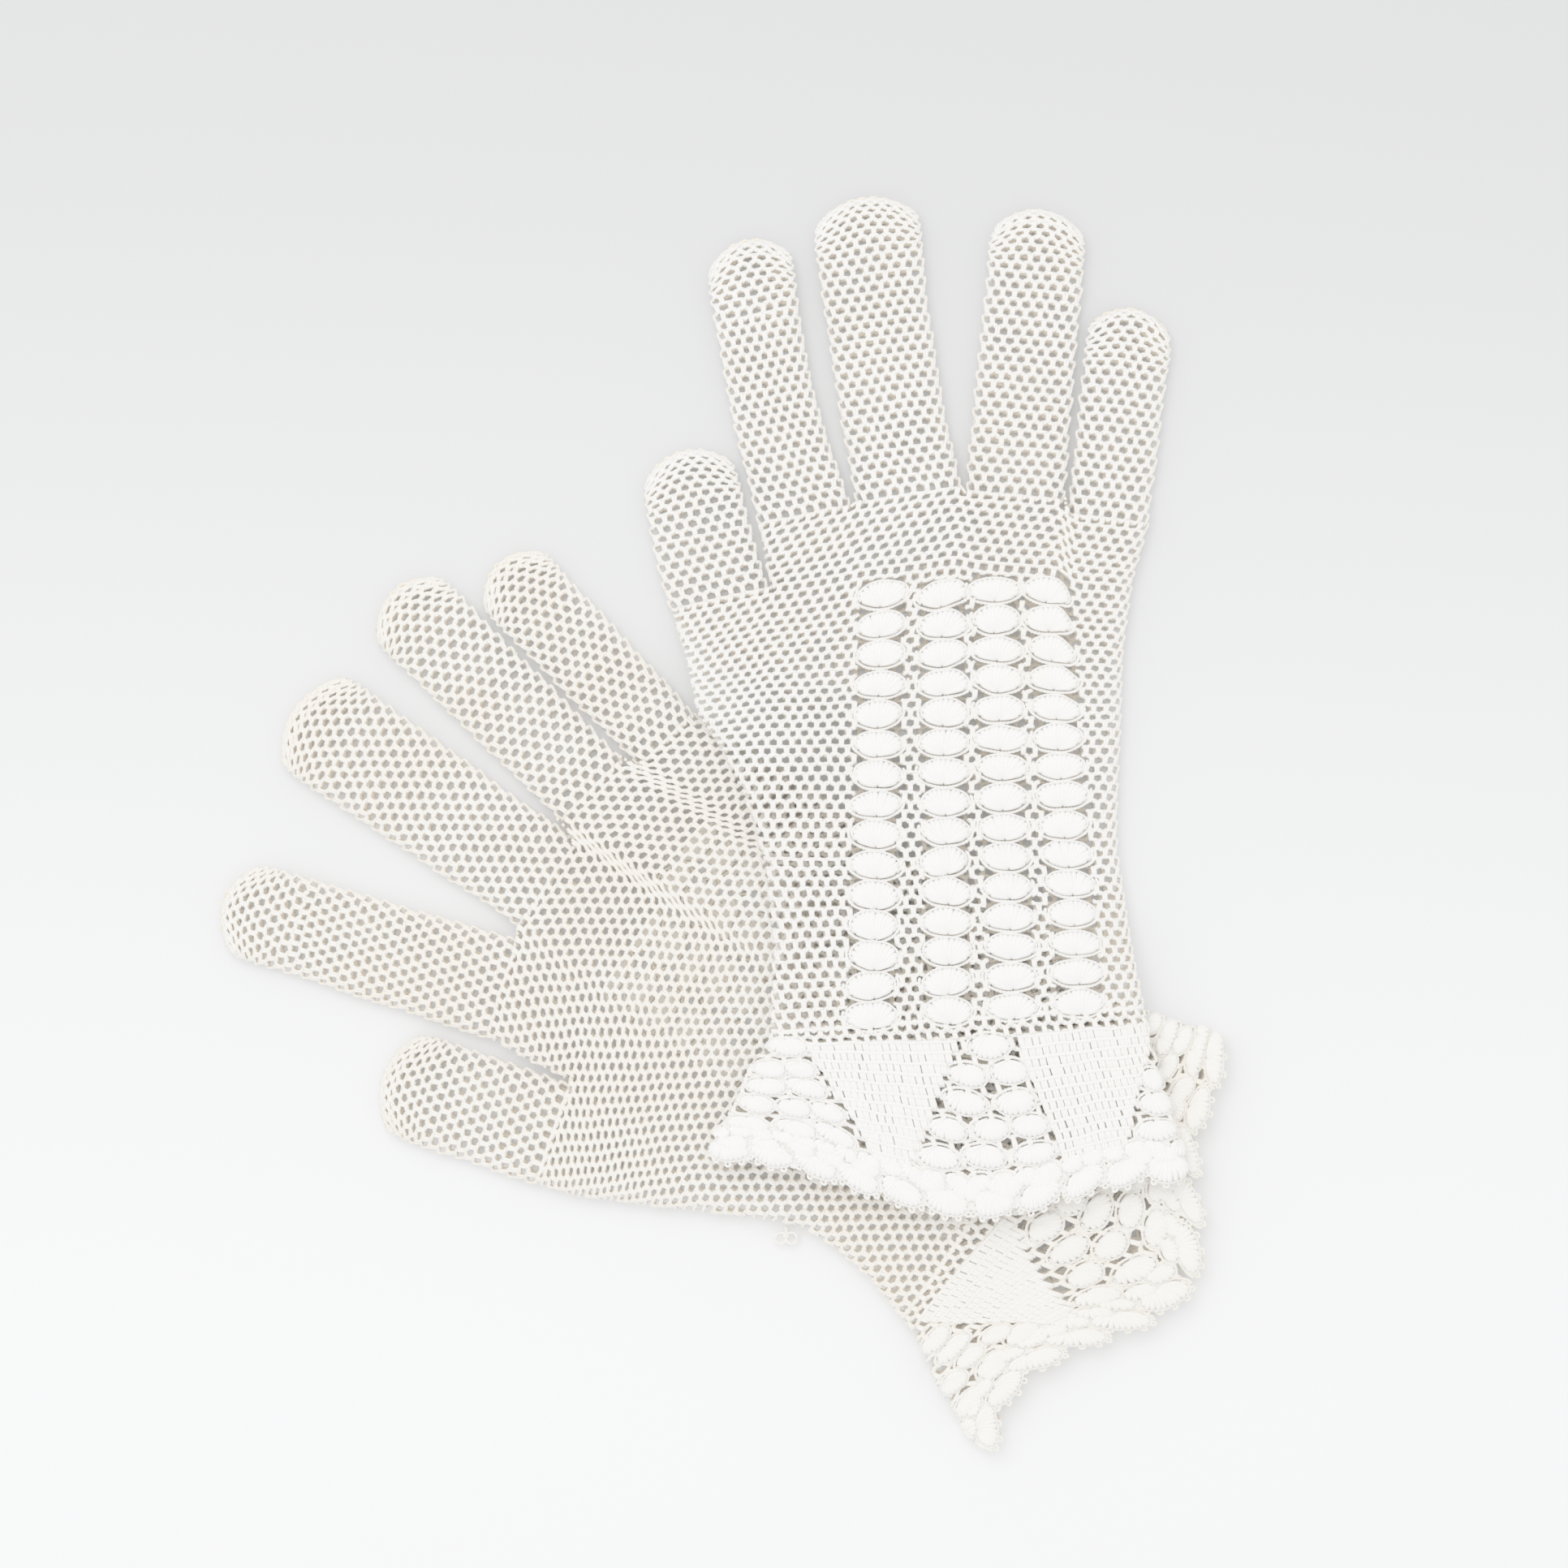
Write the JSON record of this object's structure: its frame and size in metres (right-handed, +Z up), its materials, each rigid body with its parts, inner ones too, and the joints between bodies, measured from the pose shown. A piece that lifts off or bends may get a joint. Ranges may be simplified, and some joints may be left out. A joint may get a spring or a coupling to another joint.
{
  "type": "lace wedding gloves",
  "caption": "A pair of crocheted cotton lace gloves laid crosswise, with fan-stitch backs, solid cuff blocks and a scalloped hem.",
  "frame": {"origin": "centre of the pair's outer box, on the surface that the gloves lie on", "axes": "+Z up, +Y from the right glove's cuff to its fingertips, +X towards the right glove's little finger"},
  "size_m": [0.255, 0.3134, 0.0151],
  "materials": {
    "left_yarn": "matt, off-white mercerised cotton crochet yarn, palm side up",
    "right_yarn": "matt, off-white mercerised cotton crochet yarn, back side up"
  },
  "bodies": {
    "left_hand": {"left_back": "left_yarn", "left_cuff_back_block_littleside": "left_yarn", "left_cuff_back_block_thumbside": "left_yarn", "left_cuff_back_lace": "left_yarn", "left_cuff_edging": "left_yarn", "left_cuff_littleside_lace": "left_yarn", "left_cuff_palm_block_littleside": "left_yarn", "left_cuff_palm_block_thumbside": "left_yarn", "left_cuff_palm_lace": "left_yarn", "left_cuff_thumbside_lace": "left_yarn", "left_fan_column_1": "left_yarn", "left_fan_column_2": "left_yarn", "left_fan_column_3": "left_yarn", "left_fan_column_4": "left_yarn", "left_palm": "left_yarn", "left_yarn_knot": "left_yarn"},
    "left_thumb": {"left_thumb": "left_yarn"},
    "left_index": {"left_index": "left_yarn"},
    "left_middle": {"left_middle": "left_yarn"},
    "left_ring": {"left_ring": "left_yarn"},
    "left_little": {"left_little": "left_yarn"},
    "right_hand": {"right_back": "right_yarn", "right_fan_column_1": "right_yarn", "right_fan_column_2": "right_yarn", "right_fan_column_3": "right_yarn", "right_fan_column_4": "right_yarn", "right_palm": "right_yarn"},
    "right_thumb": {"right_thumb": "right_yarn"},
    "right_index": {"right_index": "right_yarn"},
    "right_middle": {"right_middle": "right_yarn"},
    "right_ring": {"right_ring": "right_yarn"},
    "right_little": {"right_little": "right_yarn"},
    "right_cuff": {"right_cuff_back_block_littleside": "right_yarn", "right_cuff_back_block_thumbside": "right_yarn", "right_cuff_back_lace": "right_yarn", "right_cuff_edging": "right_yarn", "right_cuff_littleside_lace": "right_yarn", "right_cuff_palm_block_littleside": "right_yarn", "right_cuff_palm_block_thumbside": "right_yarn", "right_cuff_palm_lace": "right_yarn", "right_cuff_thumbside_lace": "right_yarn"}
  },
  "joints": [
    {"name": "right_glove_lift", "type": "slide", "parent": "left_hand", "child": "right_hand", "axis": [0, 0, 1], "range_m": [0, 0.06]},
    {"name": "left_thumb_fold", "type": "hinge", "parent": "left_hand", "child": "left_thumb", "pos_m": [-0.04488, -0.07573, 0.0064], "axis": [0.3256, 0.9455, 0], "range_deg": [0, 90]},
    {"name": "left_index_fold", "type": "hinge", "parent": "left_hand", "child": "left_index", "pos_m": [-0.0572, -0.0397, 0.0064], "axis": [0.2924, 0.9563, 0], "range_deg": [0, 90]},
    {"name": "left_middle_fold", "type": "hinge", "parent": "left_hand", "child": "left_middle", "pos_m": [-0.04587, -0.01361, 0.0064], "axis": [0.5678, 0.8231, 0], "range_deg": [0, 90]},
    {"name": "left_ring_fold", "type": "hinge", "parent": "left_hand", "child": "left_ring", "pos_m": [-0.03503, 0.00957, 0.0064], "axis": [0.7009, 0.7133, 0], "range_deg": [0, 90]},
    {"name": "left_little_fold", "type": "hinge", "parent": "left_hand", "child": "left_little", "pos_m": [-0.01647, 0.02197, 0.0064], "axis": [0.7193, 0.6947, 0], "range_deg": [0, 90]},
    {"name": "right_thumb_fold", "type": "hinge", "parent": "right_hand", "child": "right_thumb", "pos_m": [-0.00337, 0.05665, 0.0064], "axis": [0.9751, 0.2215, 0], "range_deg": [0, 90]},
    {"name": "right_index_fold", "type": "hinge", "parent": "right_hand", "child": "right_index", "pos_m": [0.01773, 0.07745, 0.0064], "axis": [0.9796, 0.2011, 0], "range_deg": [0, 90]},
    {"name": "right_middle_fold", "type": "hinge", "parent": "right_hand", "child": "right_middle", "pos_m": [0.04333, 0.08235, 0.0064], "axis": [0.989, 0.1478, 0], "range_deg": [0, 90]},
    {"name": "right_ring_fold", "type": "hinge", "parent": "right_hand", "child": "right_ring", "pos_m": [0.06963, 0.08215, 0.0064], "axis": [0.9959, -0.0906, 0], "range_deg": [0, 90]},
    {"name": "right_little_fold", "type": "hinge", "parent": "right_hand", "child": "right_little", "pos_m": [0.09263, 0.07645, 0.0064], "axis": [0.9936, -0.1132, 0], "range_deg": [0, 90]},
    {"name": "right_cuff_turn_up", "type": "hinge", "parent": "right_hand", "child": "right_cuff", "pos_m": [0.05523, -0.04805, 0.0147], "axis": [-0.9979, -0.0651, 0], "range_deg": [0, 90]}
  ]
}
